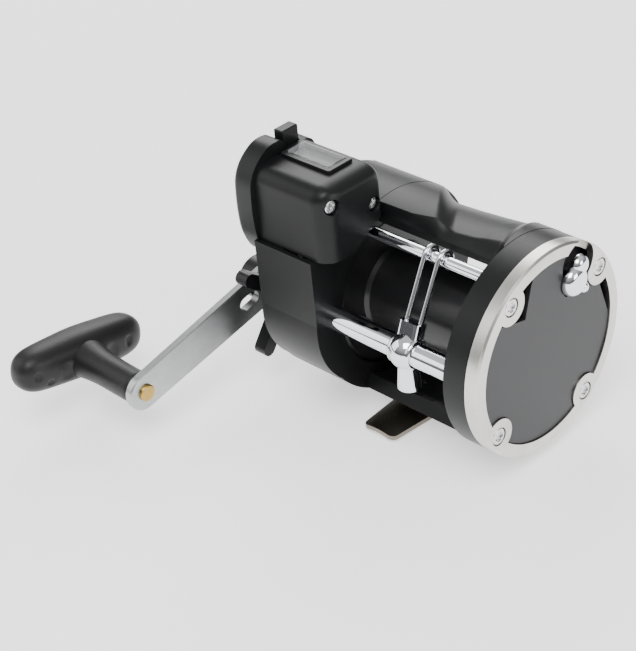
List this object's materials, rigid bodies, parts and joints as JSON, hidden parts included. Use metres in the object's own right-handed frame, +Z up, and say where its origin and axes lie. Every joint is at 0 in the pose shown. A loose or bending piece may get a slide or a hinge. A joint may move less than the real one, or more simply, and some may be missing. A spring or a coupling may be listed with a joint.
{
  "type": "trolling reel",
  "caption": "Level-wind trolling reel with a geared line counter, star drag, cranked handle, metal side ring and a rod-seat foot.",
  "frame": {"origin": "centre of the foot's underside, midway along and across the foot's saddle", "axes": "+X along the spool axis towards the metal side ring, -X towards the handle; -Y towards the line guide; +Y towards the angler; +Z up away from the rod"},
  "size_m": [0.1566, 0.1398, 0.099],
  "materials": {
    "black_frame": "fine satin grain",
    "side_metal": "satin, turned",
    "cover_grey": "satin",
    "bright_steel": "bright",
    "chrome_plate": "mirror polish",
    "spool_black": "black anodised, polished",
    "brass_gear": "machined",
    "worm_steel": "ground",
    "gear_plastic": "moulded",
    "bridge_metal": "stamped",
    "foot_dark": "smoked chrome",
    "arm_metal": "brushed",
    "black_parts": "satin",
    "knob_grip": "soft touch",
    "fibre": "woven fibre",
    "bezel_black": "gloss",
    "clear_window": "clear",
    "digit_white": "moulded"
  },
  "bodies": {
    "frame": {"left_frame_ring": "black_frame", "side_ring": "side_metal", "left_cover": "cover_grey", "cover_screws": "bright_steel", "left_bearing_plate": "black_frame", "spool_bearings": "bright_steel", "gear_side_frame": "black_frame", "gear_axles": "bright_steel", "gear_cover": "black_frame", "gear_cover_screws": "bright_steel", "bridge_plate": "bridge_metal", "thumb_bar": "black_frame", "rear_bar": "black_frame", "foot_bridge": "black_frame", "foot": "foot_dark", "foot_rivets": "bright_steel", "levelwind_tube": "chrome_plate", "stabilizer_rod": "chrome_plate", "counter_housing": "black_frame", "counter_end_cap": "black_frame", "counter_window": "clear_window", "window_bezel": "bezel_black", "counter_screws": "bright_steel", "dog_spring": "bright_steel", "reset_spring": "bright_steel", "yoke_springs": "bright_steel"},
    "spool": {"spool": "spool_black", "spool_shaft": "bright_steel", "spool_gear": "brass_gear", "click_gear": "gear_plastic"},
    "yoke": {"yoke": "gear_plastic"},
    "pinion": {"pinion": "brass_gear"},
    "clutch": {"clutch_lever": "black_frame"},
    "handle": {"handle_arm": "arm_metal", "handle_nut": "bright_steel", "nut_retainer": "black_parts", "main_shaft": "bright_steel", "drive_gear": "brass_gear", "fibre_drag_washers": "fibre", "metal_drag_washers": "bright_steel", "ratchet": "bright_steel", "knob_rivet": "brass_gear"},
    "star": {"star_drag": "black_parts"},
    "knob": {"knob": "knob_grip"},
    "dog": {"anti_reverse_dog": "bright_steel"},
    "clicker": {"click_button": "chrome_plate", "click_tongue": "bright_steel"},
    "carriage": {"carriage": "chrome_plate", "pawl_cap": "chrome_plate", "guide_wires": "bright_steel"},
    "pawl": {"pawl": "brass_gear"},
    "worm": {"worm_shaft": "worm_steel"},
    "idler": {"idler_gear": "brass_gear"},
    "counter_a": {"counter_gear_a": "gear_plastic"},
    "counter_b": {"counter_gear_b": "gear_plastic"},
    "counter": {"counter_shaft": "gear_plastic", "units_wheel": "digit_white"},
    "tens": {"tens_wheel": "digit_white"},
    "hundreds": {"hundreds_wheel": "digit_white"},
    "reset": {"reset_button": "black_frame"}
  },
  "joints": [
    {"name": "spool_spin", "type": "hinge", "parent": "frame", "child": "spool", "pos_m": [0, 0, 0.0392], "axis": [1, 0, 0], "continuous": true},
    {"name": "yoke_slide", "type": "slide", "parent": "frame", "child": "yoke", "axis": [-1, 0, 0], "range_m": [0, 0.0017], "deforming": ["yoke_springs"]},
    {"name": "pinion_spin", "type": "hinge", "parent": "yoke", "child": "pinion", "pos_m": [-0.034, 0, 0.0392], "axis": [1, 0, 0], "continuous": true},
    {"name": "clutch_turn", "type": "hinge", "parent": "frame", "child": "clutch", "pos_m": [-0.044, 0.009, 0.0562], "axis": [1, 0, 0], "range_deg": [0, 35]},
    {"name": "handle_turn", "type": "hinge", "parent": "frame", "child": "handle", "pos_m": [-0.06, -0.01669, 0.03246], "axis": [1, 0, 0], "continuous": true},
    {"name": "star_turn", "type": "hinge", "parent": "handle", "child": "star", "pos_m": [-0.05, -0.01669, 0.03246], "axis": [1, 0, 0], "range_deg": [-150, 150]},
    {"name": "knob_spin", "type": "hinge", "parent": "handle", "child": "knob", "pos_m": [-0.085, -0.077, 0.02], "axis": [1, 0, 0], "continuous": true},
    {"name": "dog_pivot", "type": "hinge", "parent": "frame", "child": "dog", "pos_m": [-0.0287, -0.02649, 0.02306], "axis": [1, 0, 0], "range_deg": [0, 12], "stiffness_Nm_per_rad": 0.003},
    {"name": "clicker_slide", "type": "slide", "parent": "frame", "child": "clicker", "axis": [0, -0.515, -0.8572], "range_m": [0, 0.005]},
    {"name": "line_guide_slide", "type": "slide", "parent": "frame", "child": "carriage", "axis": [1, 0, 0], "range_m": [-0.0255, 0.0125]},
    {"name": "pawl_turn", "type": "hinge", "parent": "carriage", "child": "pawl", "pos_m": [0.0182, -0.0309, 0.0354], "axis": [0, 0, 1], "range_deg": [-25, 25]},
    {"name": "worm_spin", "type": "hinge", "parent": "frame", "child": "worm", "pos_m": [0, -0.0309, 0.0434], "axis": [1, 0, 0], "continuous": true},
    {"name": "idler_spin", "type": "hinge", "parent": "frame", "child": "idler", "pos_m": [-0.021, -0.01486, 0.04122], "axis": [1, 0, 0], "continuous": true},
    {"name": "counter_a_spin", "type": "hinge", "parent": "frame", "child": "counter_a", "pos_m": [-0.022, -0.02807, 0.05568], "axis": [1, 0, 0], "continuous": true},
    {"name": "counter_b_spin", "type": "hinge", "parent": "frame", "child": "counter_b", "pos_m": [-0.024, -0.02417, 0.06766], "axis": [1, 0, 0], "continuous": true},
    {"name": "units_spin", "type": "hinge", "parent": "frame", "child": "counter", "pos_m": [-0.028, -0.02417, 0.08026], "axis": [1, 0, 0], "continuous": true},
    {"name": "tens_spin", "type": "hinge", "parent": "counter", "child": "tens", "pos_m": [-0.032, -0.02417, 0.08026], "axis": [1, 0, 0], "continuous": true},
    {"name": "hundreds_spin", "type": "hinge", "parent": "counter", "child": "hundreds", "pos_m": [-0.035, -0.02417, 0.08026], "axis": [1, 0, 0], "continuous": true},
    {"name": "reset_press", "type": "slide", "parent": "frame", "child": "reset", "axis": [0, 0, -1], "range_m": [0, 0.002], "stiffness_N_per_m": 250, "deforming": ["reset_spring"]}
  ],
  "couplings": [
    {"joint": "pinion_spin", "follows": "spool_spin", "ratio": 1},
    {"joint": "handle_turn", "follows": "spool_spin", "ratio": -0.25},
    {"joint": "idler_spin", "follows": "spool_spin", "ratio": -0.38889},
    {"joint": "worm_spin", "follows": "spool_spin", "ratio": 0.77778},
    {"joint": "counter_a_spin", "follows": "spool_spin", "ratio": -0.58333},
    {"joint": "counter_b_spin", "follows": "spool_spin", "ratio": 0.16667},
    {"joint": "units_spin", "follows": "spool_spin", "ratio": -0.047619},
    {"joint": "tens_spin", "follows": "spool_spin", "ratio": 0.042857},
    {"joint": "hundreds_spin", "follows": "spool_spin", "ratio": 0.047143},
    {"joint": "clutch_turn", "follows": "yoke_slide", "rad_per_m": 359.33}
  ]
}
